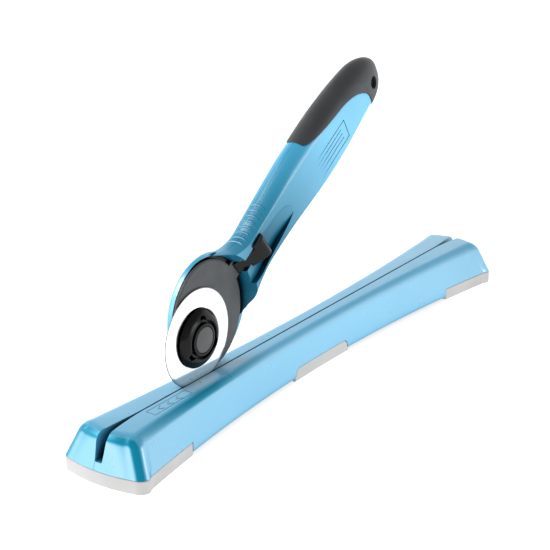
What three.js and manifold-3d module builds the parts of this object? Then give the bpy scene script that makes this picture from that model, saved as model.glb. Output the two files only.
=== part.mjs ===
// Slotted honing bar for rotary blades, with a 45 mm rotary cutter standing in its slot.
// Millimetres. The bar lies along X and the slot runs in the plane y = 0.
// The origin is the middle of the underside of the middle foot; +Z is up.
import * as THREE from "three";
import { mergeVertices } from "three/addons/utils/BufferGeometryUtils.js";
import Module from "manifold-3d";

// ---- bar ----
const BAR_HALF = 151;          // half length of the bar at its feet
const BAR_TOP = 22.4;          // height of the flat top
const BAR_UNDER = 1.8;         // lower edge of the coloured shell
const FOOT_TOP = 6.2;          // upper edge of the rubber feet
const END_LEAN = 4;            // the end faces lean in by this much towards the top
const END_BULGE = 2.2;         // the end faces bow out by this much in plan
const LOW_WAIST = 9.1;         // half width low down, in the middle
const LOW_FLARE = 13;          // added half width low down, at the ends
const TOP_WAIST = 8.7;         // half width at the top, in the middle
const TOP_FLARE = 6.6;         // added half width at the top, at the ends
const SHOULDER = 3.4;          // radius between side and top
const CORNER = 5;              // plan radius of the corners
const WALL = 2;                // shell wall
const ROOF = 1.6;              // thickness of the top wall beside the slot
const CAVITY_HALF = 129;       // half length of the hollow inside
const SLOT_HALF = 0.4;         // half width of the slot
const FUNNEL_HALF = 3;         // half width of the slot at the open ends
const FUNNEL_START = 124;      // where the slot begins to widen
const SLOT_FLOOR = 10;         // floor of the slot at the ends
const FOOT_WALL = 2.4;         // thickness of the upstanding rim of a foot
const FOOT_FLOOR = 3;          // thickness of the floor of a foot
const END_FOOT_START = 110;    // inner end of the end feet
const MID_FOOT_HALF = 21.5;    // half length of the middle foot at its top
const MID_FOOT_SPREAD = 2.2;   // it is this much longer at the ground
const PLATE_LOW = 3.3;         // underside of the closing plate
const PLATE_HIGH = 5.3;        // top of the closing plate
const SCREW_X = 138;
const SCREW_Y = 9;
const GAP = 0.3;               // air between pieces that touch

// ---- honing shuttle, hidden in the bar ----
const SHUTTLE_HALF = 18;
const SHUTTLE_WIDE = 4.6;
const SHUTTLE_LOW = 5.6;
const SHUTTLE_HIGH = 17.5;
const STONE_HALF = 13;
const STONE_TOP = 20.5;
const STONE_LOW = 12.4;

// ---- cutter ----
const BLADE_R = 22.5;          // standard 45 mm blade
const BLADE_T = 0.3;
const BORE_R = 4;              // standard 8 mm bore
const HUB_X = -85.3;           // where the blade stands along the slot
const HUB_Z = 42;              // height of the blade's centre
const HANDLE_TILT = 31;        // degrees, handle above the horizontal
const GUARD_TILT = 8;          // degrees more, line on which the guard slides
const GUARD_LONG = 25.9;       // the guard disc is slightly oval: its longer half
const GUARD_SHORT = 23.5;      // and its shorter half
const GUARD_TURN = 74.5;       // degrees from the handle's direction to the longer half
const GUARD_TRAVEL = 11.5;     // guard drawn back by this much when open
const GUARD_LOW = 0.5;         // near face of the guard disc
const GUARD_HIGH = 1.9;        // far face of the guard disc
const HEAD_R = 26.3;           // nose plate behind the guard
const HEAD_P = 14.2;           // its centre, along and across the handle from the hub
const HEAD_Q = 1.2;
const HEAD_LOW = 2.2;          // near face of the nose plate
const HEAD_HIGH = 5.8;         // far face of the nose plate
const MOUTH_FRONT = 28.5;      // radius of the opening around the guard at the near cheek
const MOUTH_BACK = 26.5;       // radius of that opening at the nose plate
const RECESS_FLOOR = -3.2;     // floor of the slider's recess in the near cheek
const CHEEK = -6.15;           // the slider passes over the near cheek beyond this
const HANDLE_END = 168.5;      // hub centre to handle end
const NOSE = 17;               // length over which the end of the handle rounds off
const HANG_P = 157.5;          // hang hole
const HANG_Q = 8.5;
const NUT_R = 13.5;

const wasm = await Module();
wasm.setup();
const DEG = Math.PI / 180;

const paint = (color, roughness, metalness) =>
  new THREE.MeshStandardMaterial({ color, roughness, metalness });

const material = {
  blue: () => paint(0x5fb4da, 0.35, 0.35),
  foot: () => paint(0xd9d8d6, 0.7, 0),
  grip: () => paint(0x36393c, 0.75, 0),
  guard: () => paint(0x4a4d50, 0.55, 0),
  gloss: () => paint(0x0d0d0f, 0.2, 0),
  cap: () => paint(0x515457, 0.5, 0),
  blade: () => paint(0xe6e9ec, 0.08, 1),
  steel: () => paint(0xb4b7ba, 0.3, 1),
  dark: () => paint(0x2a2c2f, 0.6, 0),
  stone: () => paint(0x8d8a84, 0.9, 0),
};

const root = new THREE.Group();
root.name = "blade_honing_set";

// ---------- solids ----------
function toSolid(geometry) {
  const bare = geometry.index ? geometry : geometry.clone();
  bare.deleteAttribute("normal");
  bare.deleteAttribute("uv");
  const merged = mergeVertices(bare, 1e-4);
  return new wasm.Manifold(new wasm.Mesh({
    numProp: 3,
    vertProperties: new Float32Array(merged.attributes.position.array),
    triVerts: new Uint32Array(merged.index.array),
  }));
}

function toGeometry(solid) {
  const mesh = solid.getMesh();
  const geometry = new THREE.BufferGeometry();
  const flat = new Float32Array((mesh.vertProperties.length / mesh.numProp) * 3);
  for (let i = 0; i < flat.length / 3; i += 1) {
    for (let k = 0; k < 3; k += 1) {
      flat[i * 3 + k] = mesh.vertProperties[i * mesh.numProp + k];
    }
  }
  geometry.setAttribute("position", new THREE.BufferAttribute(flat, 3));
  geometry.setIndex(new THREE.BufferAttribute(new Uint32Array(mesh.triVerts), 1));
  const loose = geometry.toNonIndexed();
  loose.computeVertexNormals();
  return loose;
}

function add(group, name, solid, mat) {
  const mesh = new THREE.Mesh(toGeometry(solid), mat);
  mesh.name = name;
  group.add(mesh);
  return mesh;
}

// A closed skin over rings of equal length, with flat ends cut into triangles.
function loft(rings, capAxes) {
  const count = rings[0].length;
  const positions = rings.flat().flatMap((v) => [v.x, v.y, v.z]);
  const index = [];
  for (let r = 0; r + 1 < rings.length; r += 1) {
    for (let i = 0; i < count; i += 1) {
      const j = (i + 1) % count;
      const a = r * count + i;
      const b = r * count + j;
      index.push(a, b, b + count, a, b + count, a + count);
    }
  }
  const cap = (ring, offset, flip) => {
    const flat = ring.map((v) => new THREE.Vector2(v[capAxes[0]], v[capAxes[1]]));
    for (const [a, b, c] of THREE.ShapeUtils.triangulateShape(flat, [])) {
      index.push(offset + a, offset + (flip ? c : b), offset + (flip ? b : c));
    }
  };
  cap(rings[0], 0, true);
  cap(rings[rings.length - 1], (rings.length - 1) * count, false);
  const geometry = new THREE.BufferGeometry();
  geometry.setAttribute("position", new THREE.Float32BufferAttribute(positions, 3));
  geometry.setIndex(index);
  return toSolid(geometry);
}

// Outline in X and Y, raised from z0 to z1.
function raise(points, z0, z1) {
  const shape = new THREE.Shape(points.map(([x, y]) => new THREE.Vector2(x, y)));
  const geometry = new THREE.ExtrudeGeometry(shape, { depth: z1 - z0, bevelEnabled: false });
  geometry.translate(0, 0, z0);
  return toSolid(geometry);
}

// Outline in X and Z, running from y0 to y1.
function across(points, y0, y1) {
  const shape = new THREE.Shape(points.map(([x, z]) => new THREE.Vector2(x, z)));
  const geometry = new THREE.ExtrudeGeometry(shape, { depth: y1 - y0, bevelEnabled: false });
  geometry.rotateX(Math.PI / 2);
  geometry.translate(0, y1, 0);
  return toSolid(geometry);
}

// Outline in Y and Z, running from x0 to x1.
function along(points, x0, x1) {
  const shape = new THREE.Shape(points.map(([y, z]) => new THREE.Vector2(y, z)));
  const geometry = new THREE.ExtrudeGeometry(shape, { depth: x1 - x0, bevelEnabled: false });
  geometry.rotateX(Math.PI / 2);
  geometry.rotateZ(Math.PI / 2);
  geometry.translate(x0, 0, 0);
  return toSolid(geometry);
}

function block(x0, x1, y0, y1, z0, z1) {
  const geometry = new THREE.BoxGeometry(x1 - x0, y1 - y0, z1 - z0);
  geometry.translate((x0 + x1) / 2, (y0 + y1) / 2, (z0 + z1) / 2);
  return toSolid(geometry);
}

// A profile of [radius, y] turned about the Y direction.
function turned(profile, segments) {
  const points = profile.map(([r, y]) => new THREE.Vector2(r, y));
  return toSolid(new THREE.LatheGeometry(points, segments));
}

const circle = (cx, cz, r, steps) => Array.from({ length: steps }, (unused, i) => [
  cx + r * Math.cos((i / steps) * 2 * Math.PI),
  cz + r * Math.sin((i / steps) * 2 * Math.PI),
]);

// Smooth curve through [position, value] pairs.
function curveThrough(pairs) {
  return (x) => {
    const last = pairs.length - 1;
    if (x <= pairs[0][0]) return pairs[0][1];
    if (x >= pairs[last][0]) return pairs[last][1];
    const i = pairs.findIndex((pair) => pair[0] > x) - 1;
    const slope = (k) => {
      const a = pairs[Math.max(k - 1, 0)];
      const b = pairs[Math.min(k + 1, last)];
      return (b[1] - a[1]) / (b[0] - a[0]);
    };
    const span = pairs[i + 1][0] - pairs[i][0];
    const t = (x - pairs[i][0]) / span;
    return (2 * t ** 3 - 3 * t ** 2 + 1) * pairs[i][1] + (t ** 3 - 2 * t ** 2 + t) * span * slope(i)
      + (3 * t ** 2 - 2 * t ** 3) * pairs[i + 1][1] + (t ** 3 - t ** 2) * span * slope(i + 1);
  };
}

// ---------- bar ----------
// Half width of the bar at x, from 0 low down to 1 at the top.
function barWidth(x, up) {
  const far = (x / 151) ** 2;
  const low = LOW_WAIST + LOW_FLARE * far;
  const top = TOP_WAIST + TOP_FLARE * far;
  return low + (top - low) * up;
}

// Plan outline of the bar: long waisted sides, bowed ends and round corners.
function barOutline(half, up, inset, corner) {
  const sides = 22;
  const arc = 5;
  const r = Math.max(corner - inset, 0.8);
  const straight = half - inset;
  const quarter = [];
  const wide = (x) => barWidth(x, up) - inset;
  const endY = wide(straight) - r;
  for (let i = 0; i < 3; i += 1) {
    const y = (endY * i) / 3;
    quarter.push([straight + END_BULGE * (1 - (y / endY) ** 2), y]);
  }
  for (let i = 0; i <= arc; i += 1) {
    const a = (i / arc) * 90 * DEG;
    quarter.push([straight - r + r * Math.cos(a), endY + r * Math.sin(a)]);
  }
  for (let i = 1; i <= sides / 2; i += 1) {
    const x = (straight - r) * (1 - i / (sides / 2));
    quarter.push([x, wide(x)]);
  }
  const half1 = quarter.concat(quarter.slice(0, -1).reverse().map(([x, y]) => [-x, y]));
  return half1.concat(half1.slice(1, -1).reverse().map(([x, y]) => [x, -y]));
}

function stack(levels) {
  return loft(levels.map(({ z, points }) => points.map(([x, y]) => new THREE.Vector3(x, y, z))), "xy");
}

// The whole bar as one body, feet included, grown or shrunk by inset.
function barBody(inset, z0) {
  const levels = [];
  const lean = (z) => END_LEAN * Math.max(0, (z - FOOT_TOP) / (BAR_TOP - FOOT_TOP));
  const up = (z) => Math.max(0, (z - FOOT_TOP) / (BAR_TOP - FOOT_TOP));
  const at = (z, extra) => levels.push({
    z,
    points: barOutline(BAR_HALF - lean(z), up(z), inset + extra, CORNER),
  });
  const crown = BAR_TOP - inset;
  for (const z of [z0, FOOT_TOP, 12.5]) {
    at(z, 0);
  }
  for (const a of [0, 22.5, 45, 67.5, 90]) {
    const r = SHOULDER;
    at(crown - r + r * Math.sin(a * DEG), r * (1 - Math.cos(a * DEG)));
  }
  return stack(levels);
}

// Half width of the slot along the bar.
const slotHalf = (x) => SLOT_HALF
  + (FUNNEL_HALF - SLOT_HALF) * Math.max(0, (Math.abs(x) - FUNNEL_START) / (150 - FUNNEL_START)) ** 1.6;

function slotCut() {
  const xs = [-156, -150, -144, -138, -132, -124, 0, 124, 132, 138, 144, 150, 156];
  const ring = (scale) => xs.map((x) => [x, -slotHalf(x) * scale])
    .concat(xs.slice().reverse().map((x) => [x, slotHalf(x) * scale]));
  const levels = [[SLOT_FLOOR, 0.42], [SLOT_FLOOR + 0.8, 0.58], [BAR_TOP, 1], [BAR_TOP + 4, 1]];
  return stack(levels.map(([z, scale]) => ({ z, points: ring(scale) })));
}

// Everything on the far side of the joint line between the two half shells.
function farSide(shift) {
  const xs = [-156, -150, -144, -138, -132, -124, 0, 124, 132, 138, 144, 150, 156];
  const line = xs.map((x) => [x, slotHalf(x) * 0.58 + shift]);
  return raise([...line, [156, 40], [-156, 40]], -1, 30);
}

// The space of one foot: its plan limits and, at the middle one, slanted ends.
function footSpace(kind, grow) {
  if (kind === "middle") {
    const top = MID_FOOT_HALF + grow;
    const low = top + MID_FOOT_SPREAD;
    return across([[-low, -1], [low, -1], [top, FOOT_TOP + grow], [-top, FOOT_TOP + grow]], -30, 30);
  }
  const start = END_FOOT_START - grow;
  const box = block(start, 160, -30, 30, -1, FOOT_TOP + grow);
  return kind === "far" ? box : box.mirror([1, 0, 0]);
}

function foot(kind) {
  const hollow = barBody(FOOT_WALL, -2).intersect(block(-160, 160, -30, 30, FOOT_FLOOR, 30));
  return barBody(0, 0).intersect(footSpace(kind, 0)).subtract(hollow);
}

function halfShells() {
  let shell = barBody(0, BAR_UNDER);
  const inner = CAVITY_HALF;
  const levels = [[PLATE_HIGH + GAP, 0], [12.5, 0.39], [BAR_TOP - ROOF, 1]].map(([z, up]) => ({
    z,
    points: barOutline(inner, up, 0, 3).map(([x, y]) => [x, y - Math.sign(y) * Math.min(WALL, Math.abs(y))]),
  }));
  shell = shell.subtract(stack(levels));
  shell = shell.subtract(barBody(FOOT_WALL + GAP + WALL, -2)
    .intersect(block(-146, 146, -30, 30, -3, PLATE_HIGH + GAP)));
  const around = barBody(-2, -2).subtract(barBody(FOOT_WALL + GAP, -4));
  for (const kind of ["near", "middle", "far"]) {
    shell = shell.subtract(around.intersect(footSpace(kind, GAP)));
    shell = shell.subtract(footSpace(kind, GAP).intersect(block(-170, 170, -30, 30, -5, FOOT_FLOOR + GAP)));
  }
  for (const x of [-SCREW_X, SCREW_X]) {
    for (const y of [-SCREW_Y, SCREW_Y]) {
      shell = shell.subtract(raise(circle(x, y, 1.6, 14), 0, 17));
    }
  }
  shell = shell.subtract(slotCut());
  return [shell.intersect(farSide(0.1)), shell.subtract(farSide(-0.1))];
}

function closingPlate() {
  let plate = barBody(FOOT_WALL + WALL + 2 * GAP, -2)
    .intersect(block(-145, 145, -30, 30, PLATE_LOW, PLATE_HIGH));
  for (const x of [-SCREW_X, SCREW_X]) {
    for (const y of [-SCREW_Y, SCREW_Y]) {
      plate = plate.subtract(raise(circle(x, y, 1.9, 14), 0, 10));
      plate = plate.subtract(raise(circle(x, y, 3.3, 18), 0, PLATE_LOW + 1.2));
    }
  }
  return plate;
}

function plateScrew(x, y) {
  const low = PLATE_LOW + 0.1;
  const head = raise(circle(x, y, 3, 18), low, low + 1);
  const shank = raise(circle(x, y, 1.4, 14), low + 0.5, 15);
  const recess = raise(circle(x, y, 1.2, 6), low - 1, low + 0.6);
  return head.add(shank).subtract(recess);
}

function shuttleCarrier() {
  const body = block(-SHUTTLE_HALF, SHUTTLE_HALF, -SHUTTLE_WIDE, SHUTTLE_WIDE, SHUTTLE_LOW, SHUTTLE_HIGH);
  const groove = block(-SHUTTLE_HALF - 1, SHUTTLE_HALF + 1, -0.5, 0.5, 9, 30);
  const pocket = block(-STONE_HALF - GAP, STONE_HALF + GAP, -3.5, 3.5, STONE_LOW - GAP, 30);
  return body.subtract(groove).subtract(pocket);
}

function stone(side) {
  const outline = [[0.2, STONE_LOW], [2.6, STONE_LOW], [2.6, STONE_TOP - 0.6], [2, STONE_TOP], [0.75, STONE_TOP]];
  const solid = along(outline, -STONE_HALF, STONE_HALF);
  return side > 0 ? solid : solid.mirror([0, 1, 0]);
}

function stoneSpring(side) {
  const outline = [];
  for (let i = 0; i <= 10; i += 1) {
    const x = -11 + i * 2.2;
    outline.push([x, 2.75 + 0.4 * (x / 11) ** 2]);
  }
  const outer = outline.slice().reverse().map(([x, y]) => [x, y + 0.25]);
  const solid = raise(outline.concat(outer), STONE_LOW + 1, SHUTTLE_HIGH - 1);
  return side > 0 ? solid : solid.mirror([0, 1, 0]);
}

// ---------- cutter ----------
// Side view of the handle, measured from the hub along and across the handle.
const handleTop = curveThrough([
  [20, 24], [30, 21.4], [38, 17.2], [46, 15.4], [56, 17], [68, 18.9], [79, 20.7], [90, 22.2], [104, 22.9],
  [116, 23.4], [126, 23.6], [136, 23.4], [146, 22.6], [154, 21.6], [162, 20.4], [168.5, 19.4],
]);
const handleLow = curveThrough([
  [20, -14], [28, -13.8], [34, -12.6], [42, -9.4], [50, -7.1], [56, -6.3], [68, -5.4], [80, -5.2], [92, -5.4],
  [104, -5.4], [115, -4.9], [125, -3.8], [135, -2.2], [145, -0.6], [155, 0.4], [168.5, 1],
]);
const handleHalf = curveThrough([[20, 5.6], [46, 5.8], [68, 6.4], [90, 6.9], [115, 7.3], [140, 7.5], [168.5, 7]]);
// The underside near the guard falls towards the far side by this much.
const handleFall = curveThrough([[20, 8], [30, 6.5], [36, 4.6], [42, 2.4], [50, 0]]);
const handleDome = curveThrough([[30, 1.6], [46, 1.8], [56, 2.8], [68, 4], [90, 6.4], [115, 6.9], [136, 9], [155, 10]]);

// Cross-section of the handle in Y and Z: flat cheeks, a domed back and a soft lower edge.
function handleSection(p, inset) {
  const nose = Math.max(0, (p - (HANDLE_END - NOSE - inset)) / NOSE);
  const fade = Math.sqrt(Math.max(0.004, 1 - nose ** 2));
  const top = handleTop(p) - inset;
  const low = handleLow(p) + inset;
  const mid = (top + low) / 2;
  const half = (handleHalf(p) - inset) * fade;
  const high = (top - mid) * fade;
  const rise = handleDome(p) * fade;
  const room = Math.min(1, (1.9 * high) / (rise + 2.4 * fade), half / (2.5 * fade));
  const dome = rise * room;
  const edge = 2.4 * fade * room;
  const points = [];
  for (let i = 0; i <= 12; i += 1) {
    const a = (i / 12) * 180 * DEG;
    points.push([half * Math.cos(a), mid + high - dome + dome * Math.sin(a)]);
  }
  for (const a of [180, 210, 240, 270]) {
    points.push([-half + edge + edge * Math.cos(a * DEG), mid - high + edge + edge * Math.sin(a * DEG)]);
  }
  for (const a of [270, 300, 330, 360]) {
    points.push([half - edge + edge * Math.cos(a * DEG), mid - high + edge + edge * Math.sin(a * DEG)]);
  }
  const fall = handleFall(p);
  const drop = (y, z) => fall * ((y + half) / (2 * half)) * (Math.max(0, mid - z) / high);
  return points.map(([y, z]) => new THREE.Vector3(p, y, z - drop(y, z)));
}

function handleLoft(p0, p1, inset) {
  const stations = [];
  for (let p = p0; p < p1 - 18; p += 8) {
    stations.push(p);
  }
  for (const back of [17, 14, 11, 8, 5.5, 3.5, 2, 1, 0.4, 0]) {
    stations.push(p1 - back);
  }
  return loft(stations.map((p) => handleSection(p, inset)), "yz");
}

// Side view of the space that the rubber grip fills, shrunk by the given gap.
function gripSpace(gap) {
  const edge = [[99.5, 40], [99.5, 22], [100.6, 20.9], [105, 19.8], [112, 18.9], [121, 18.1], [130, 17.5],
    [136, 16.4], [141, 14.7], [145.5, 12.2], [149.5, 8.6], [151, 4.5], [151.4, -12]];
  const moved = edge.map(([x, z]) => [x + gap, z + gap]);
  return across([...moved, [200, -12], [200, 40]], -20, 20);
}

const onSlide = (distance, offset = 0) => [
  distance * Math.cos(GUARD_TILT * DEG) - offset * Math.sin(GUARD_TILT * DEG),
  distance * Math.sin(GUARD_TILT * DEG) + offset * Math.cos(GUARD_TILT * DEG),
];

// A straight strip along the line on which the guard slides.
const strip = (from, to, half, y0, y1) => across(
  [onSlide(from, -half), onSlide(to, -half), onSlide(to, half), onSlide(from, half)], y0, y1);

function thumbRibs() {
  const ribs = [];
  for (let i = 0; i < 8; i += 1) {
    const p = 42.5 + i * 2.9;
    const rib = handleLoft(38, 100, -0.5).intersect(block(p, p + 1.1, -4.4, 4.4, 10, 40));
    ribs.push(rib);
  }
  return ribs.reduce((sum, rib) => sum.add(rib));
}

function handleShells() {
  const guardAt = onSlide(GUARD_TRAVEL);
  const outer = handleLoft(22, HANDLE_END, 0);
  const coreSpace = handleLoft(60, HANDLE_END - 3, 2.2);
  const ringSpace = gripSpace(0).subtract(coreSpace);
  const hollow = handleLoft(86, 142, 3.6);
  const hang = across(circle(HANG_P, HANG_Q, 3.3, 20), -20, 20);
  const body = outer.add(thumbRibs()).subtract(ringSpace).subtract(hollow).subtract(hang)
    .subtract(strip(-30, 55.5, 5.3, GUARD_LOW - GAP, GUARD_HIGH + GAP));
  const mouth = turned([
    [0, -20], [MOUTH_FRONT, -20], [MOUTH_FRONT, -5.5], [MOUTH_BACK, 1.5], [MOUTH_BACK, HEAD_LOW], [0, HEAD_LOW],
  ], 64).translate([guardAt[0], 0, guardAt[1]]);
  const near = body.subtract(mouth).subtract(block(-60, 200, 0, 30, -60, 60)).subtract(channel());
  const plate = turnedPlate();
  let far = body.subtract(mouth).intersect(block(-60, 200, GAP / 2, 30, -60, 60)).add(plate);
  far = far.subtract(strip(-30, 55.5, 5.3, -1, GUARD_HIGH + GAP));
  far = far.add(turned([[0, 0.25], [5.2, 0.25], [5.2, HEAD_LOW + 1], [0, HEAD_LOW + 1]], 28));
  far = far.subtract(turned([[0, -20], [3.95, -20], [3.95, 20], [0, 20]], 24));
  far = far.subtract(turned([[0, 4.6], [6.6, 4.6], [6.6, 20], [0, 20]], 28));
  return [near, far];
}

// Round nose plate that carries the axle, with a rounded rear edge.
function turnedPlate() {
  const round = 2;
  const profile = [[0, HEAD_LOW], [HEAD_R, HEAD_LOW]];
  for (const a of [0, 30, 60, 90]) {
    profile.push([HEAD_R - round + round * Math.cos(a * DEG), HEAD_HIGH - round + round * Math.sin(a * DEG)]);
  }
  profile.push([0, HEAD_HIGH]);
  return turned(profile, 64).translate([HEAD_P, 0, HEAD_Q]);
}

// Recess in the near cheek for the guard's slider: its floor rises to the cheek at the rear.
const recessTop = curveThrough([[22, 9.6], [39, 10], [50, 10.9], [61, 11.4], [68, 11.2], [73, 9.8], [76, 7], [77.5, 4]]);
const recessLow = curveThrough([
  [22, 2], [30, -3.5], [36, -5], [39.4, -5.6], [45, -5.4], [50, -4.1], [62, -1.6], [72, 0.8], [77.5, 3]]);

function channel() {
  const rings = [];
  for (const p of [22, 26, 30, 33, 36, 39.4, 42, 46, 50, 54, 57, 60, 64, 68, 71, 73.5, 75.5, 76.8, 77.5]) {
    const rise = Math.max(0, (p - 54) / 23);
    const floor = RECESS_FLOOR - 3.6 * rise ** 2;
    const [low, top] = [recessLow(p), recessTop(p)];
    rings.push([[-20, low], [floor, low], [floor, top], [-20, top]].map(([y, z]) => new THREE.Vector3(p, y, z)));
  }
  return loft(rings, "yz").add(strip(24, 55, 3.9, -20, 0.5));
}

function rubberGrip() {
  const grip = handleLoft(60, HANDLE_END + 0.35, -0.35).intersect(gripSpace(GAP));
  return grip.subtract(handleLoft(50, HANDLE_END - 2.7, 1.9))
    .subtract(across(circle(HANG_P, HANG_Q, 3.1, 20), -20, 20));
}

function guardDisc() {
  const [gx, gz] = onSlide(GUARD_TRAVEL);
  const [c, s] = [Math.cos(GUARD_TURN * DEG), Math.sin(GUARD_TURN * DEG)];
  const outline = circle(0, 0, 1, 72).map(([x, z]) => [
    gx + GUARD_LONG * x * c - GUARD_SHORT * z * s, gz + GUARD_LONG * x * s + GUARD_SHORT * z * c]);
  let disc = across(outline, GUARD_LOW, GUARD_HIGH);
  disc = disc.add(strip(20, 54.4, 4.6, GUARD_LOW, GUARD_HIGH));
  disc = disc.subtract(strip(0, GUARD_TRAVEL, 5.5, -5, 5));
  disc = disc.subtract(across(circle(0, 0, 5.5, 28), -5, 5));
  return disc.subtract(across(circle(gx, gz, 5.5, 28), -5, 5));
}

// Thumb slider: a wedge that rises towards the rear, on a foot that meets the guard's arm.
// Its upper part reaches over the near cheek.
function thumbSlider() {
  const ring = (profile, offset) => profile.map(([d, y]) => {
    const [x, z] = onSlide(d, offset);
    return new THREE.Vector3(x, y, z);
  });
  const side = [[43, -3.5], [49, -7.7], [51, -8.7], [52.8, -8.3], [54, -7], [54.4, -3.5]];
  const top = block(-60, 200, -20, CHEEK, -60, 60);
  const cap = loft([ring(side, -5.6), ring(side, 5.6)], "xy").intersect(top);
  const base = loft([ring(side, -5.6), ring(side, 3.1)], "xy");
  const slope = [[37, GUARD_LOW - 0.1], [37, -0.2], [44.4, -4.6], [54.4, -4.6], [54.4, GUARD_LOW - 0.1]];
  return cap.add(base).add(loft([ring(slope, -3.6), ring(slope, 3.1)], "xy"));
}

const nutShape = () => {
  const profile = [
    [3, -0.75], [NUT_R - 0.2, -0.75], [NUT_R, -0.95], [NUT_R - 0.1, -1.2], [NUT_R - 0.5, -1.75],
    [NUT_R - 1.2, -2.4], [NUT_R - 2.1, -3.1], [NUT_R - 3.1, -3.65], [9.6, -3.95], [9, -3.9], [8.8, -3.6],
    [8.7, -2], [7.5, -2], [7.4, -3.9], [7.1, -4.1], [6.2, -4.1], [6.1, -3.5], [3, -3.5], [3, -0.75],
  ];
  return profile.reverse();
};

function hubNut() {
  let nut = turned(nutShape(), 48);
  for (const angle of [58, 178, 298]) {
    const window = across([[8.4, -2.4], [11.2, -1.3], [11.2, 1.3], [8.4, 2.4]], -10, 5);
    nut = nut.subtract(window.rotate([0, angle, 0]));
  }
  return nut;
}

const axleBolt = () => turned([
  [0, -3.3], [2.9, -3.3], [2.9, -0.6], [3.85, -0.6], [3.85, 4.9], [6.2, 4.9], [6.2, 6], [5, 7], [0, 7],
], 24);

function blade() {
  const edge = BLADE_T / 2;
  return turned([
    [BORE_R, -edge], [BLADE_R - 1.2, -edge], [BLADE_R, -0.03], [BLADE_R, 0.03], [BLADE_R - 1.2, edge],
    [BORE_R, edge], [BORE_R, -edge],
  ], 80);
}

const springWasher = () => turned([
  [3.95, -0.65], [8, -0.5], [8, -0.25], [3.95, -0.4], [3.95, -0.65],
], 28);

const nutCap = () => turned([[0, -4.3], [5.5, -4.3], [5.9, -4.05], [5.9, -3.7], [0, -3.7]], 36);

// ---------- assembly ----------
const bar = new THREE.Group();
root.add(bar);
const [shellFar, shellNear] = halfShells();
add(bar, "bar_shell_left", shellFar, material.blue());
add(bar, "bar_shell_right", shellNear, material.blue());
add(bar, "closing_plate", closingPlate(), material.dark());
add(bar, "foot_near", foot("near"), material.foot());
add(bar, "foot_middle", foot("middle"), material.foot());
add(bar, "foot_far", foot("far"), material.foot());
let screwNumber = 1;
for (const x of [-SCREW_X, SCREW_X]) {
  for (const y of [-SCREW_Y, SCREW_Y]) {
    add(bar, `plate_screw_${screwNumber}`, plateScrew(x, y), material.steel());
    screwNumber += 1;
  }
}

const shuttle = new THREE.Group();
shuttle.position.set(HUB_X, 0, 0);
root.add(shuttle);
add(shuttle, "shuttle_carrier", shuttleCarrier(), material.dark());
for (const [name, side] of [["left", 1], ["right", -1]]) {
  add(shuttle, `hone_stone_${name}`, stone(side), material.stone());
  add(shuttle, `stone_spring_${name}`, stoneSpring(side), material.steel());
}

const cutter = new THREE.Group();
cutter.position.set(HUB_X, 0, HUB_Z);
cutter.rotation.y = -HANDLE_TILT * DEG;
root.add(cutter);
const [handleNear, handleFar] = handleShells();
add(cutter, "handle_shell_right", handleNear, material.blue());
add(cutter, "handle_shell_left", handleFar, material.blue());
add(cutter, "rubber_grip", rubberGrip(), material.grip());
add(cutter, "blade_guard", guardDisc(), material.guard());
add(cutter, "thumb_slider", thumbSlider(), material.gloss());
add(cutter, "axle_bolt", axleBolt(), material.steel());
add(cutter, "blade", blade(), material.blade());
add(cutter, "spring_washer", springWasher(), material.steel());
add(cutter, "hub_nut", hubNut(), material.gloss());
add(cutter, "nut_cap", nutCap(), material.cap());

export default root;
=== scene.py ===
"""Looks of the honing bar and its rotary cutter.

Shapes are worked out in millimetres and stored in metres. The cutter's pieces are made in the handle's own
directions, with p along the handle and q across it from the blade's centre, and then tilted into place.
"""
import math

import bmesh
import bpy
from mathutils import Matrix, Vector


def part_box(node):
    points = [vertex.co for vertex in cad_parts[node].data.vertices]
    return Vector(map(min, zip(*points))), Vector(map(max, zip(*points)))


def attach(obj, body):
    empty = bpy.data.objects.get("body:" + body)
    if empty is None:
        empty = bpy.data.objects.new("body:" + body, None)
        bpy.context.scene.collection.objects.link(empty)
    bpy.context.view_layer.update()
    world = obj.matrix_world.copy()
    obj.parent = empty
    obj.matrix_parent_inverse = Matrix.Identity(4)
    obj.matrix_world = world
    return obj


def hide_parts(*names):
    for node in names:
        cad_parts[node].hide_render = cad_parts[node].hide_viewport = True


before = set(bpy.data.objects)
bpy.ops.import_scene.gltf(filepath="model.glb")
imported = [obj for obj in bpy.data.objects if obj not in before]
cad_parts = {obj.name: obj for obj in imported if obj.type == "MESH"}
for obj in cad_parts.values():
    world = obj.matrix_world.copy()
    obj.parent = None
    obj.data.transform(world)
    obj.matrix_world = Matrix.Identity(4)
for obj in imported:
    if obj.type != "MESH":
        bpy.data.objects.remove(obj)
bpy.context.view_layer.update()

# ---- sizes, in millimetres, as on the bar and the cutter ----
BAR_HALF = 151
BAR_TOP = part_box("bar_shell_right")[1].z * 1000
BAR_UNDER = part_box("bar_shell_right")[0].z * 1000
FOOT_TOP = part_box("foot_near")[1].z * 1000
END_LEAN, END_BULGE = 4, 2.2
LOW_WAIST, LOW_FLARE = 9.1, 13
TOP_WAIST, TOP_FLARE = 8.7, 6.6
SHOULDER, CORNER, WALL, ROOF = 4.3, 5, 2, 1.6
CAVITY_HALF, PLATE_SPACE, SCREW_HOLE_R = 129, 5.6, 1.6
MARK_DEPTH = 0.16
SLOT_HALF, FUNNEL_HALF, FUNNEL_START, SLOT_FLOOR = 0.4, 3, 124, 10
FOOT_WALL, FOOT_FLOOR, END_FOOT_START = 2.4, 3, 110
MID_FOOT_HALF, MID_FOOT_SPREAD = 21.5, 2.2
GAP = 0.3
BLADE_R, BORE_R = 22.5, 4
HANDLE_TILT, GUARD_TILT = 31, 8
GUARD_LONG, GUARD_SHORT, GUARD_TURN = 25.9, 23.5, 74.5
GUARD_TRAVEL, GUARD_LOW, GUARD_HIGH, AXLE_SLOT_R = 11.5, 0.5, 1.9, 5.5
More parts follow.
